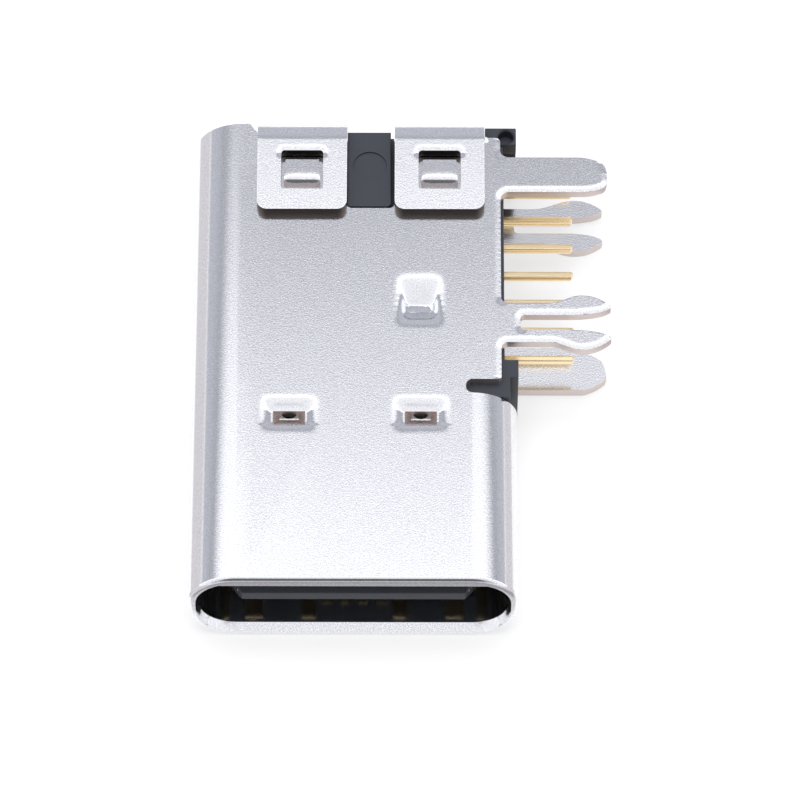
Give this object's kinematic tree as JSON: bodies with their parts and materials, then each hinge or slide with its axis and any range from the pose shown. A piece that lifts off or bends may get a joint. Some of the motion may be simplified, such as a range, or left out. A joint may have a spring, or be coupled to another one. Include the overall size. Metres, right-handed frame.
{
  "type": "usb-c socket",
  "caption": "USB-C socket with a long folded steel shell, soldering legs and contact tails on one side for a board that stands beside it.",
  "frame": {"origin": "middle of the bottom of the bounding box", "axes": "+Z from the flat floor of the shell to its roof, -Y out of the mouth, +X to the board side with the legs and contact tails"},
  "size_m": [0.0116, 0.0144, 0.0035],
  "materials": {
    "shell_nickel": "satin nickel plate on steel sheet",
    "housing_plastic": "moulded glass-filled resin",
    "carrier_plastic": "moulded glass-filled resin",
    "plate_steel": "bright stamped steel",
    "contact_gold": "thin gold plate on copper alloy"
  },
  "bodies": {
    "root": {"shell": "shell_nickel", "housing": "housing_plastic", "upper_carrier": "carrier_plastic", "lower_carrier": "carrier_plastic", "mid_plate": "plate_steel", "emc_pad_upper": "plate_steel", "emc_pad_lower": "plate_steel", "contact_upper_1": "contact_gold", "contact_upper_2": "contact_gold", "contact_upper_3": "contact_gold", "contact_upper_4": "contact_gold", "contact_upper_5": "contact_gold", "contact_upper_6": "contact_gold", "contact_upper_7": "contact_gold", "contact_upper_8": "contact_gold", "contact_lower_1": "contact_gold", "contact_lower_2": "contact_gold", "contact_lower_3": "contact_gold", "contact_lower_4": "contact_gold", "contact_lower_5": "contact_gold", "contact_lower_6": "contact_gold", "contact_lower_7": "contact_gold", "contact_lower_8": "contact_gold"}
  },
  "joints": []
}
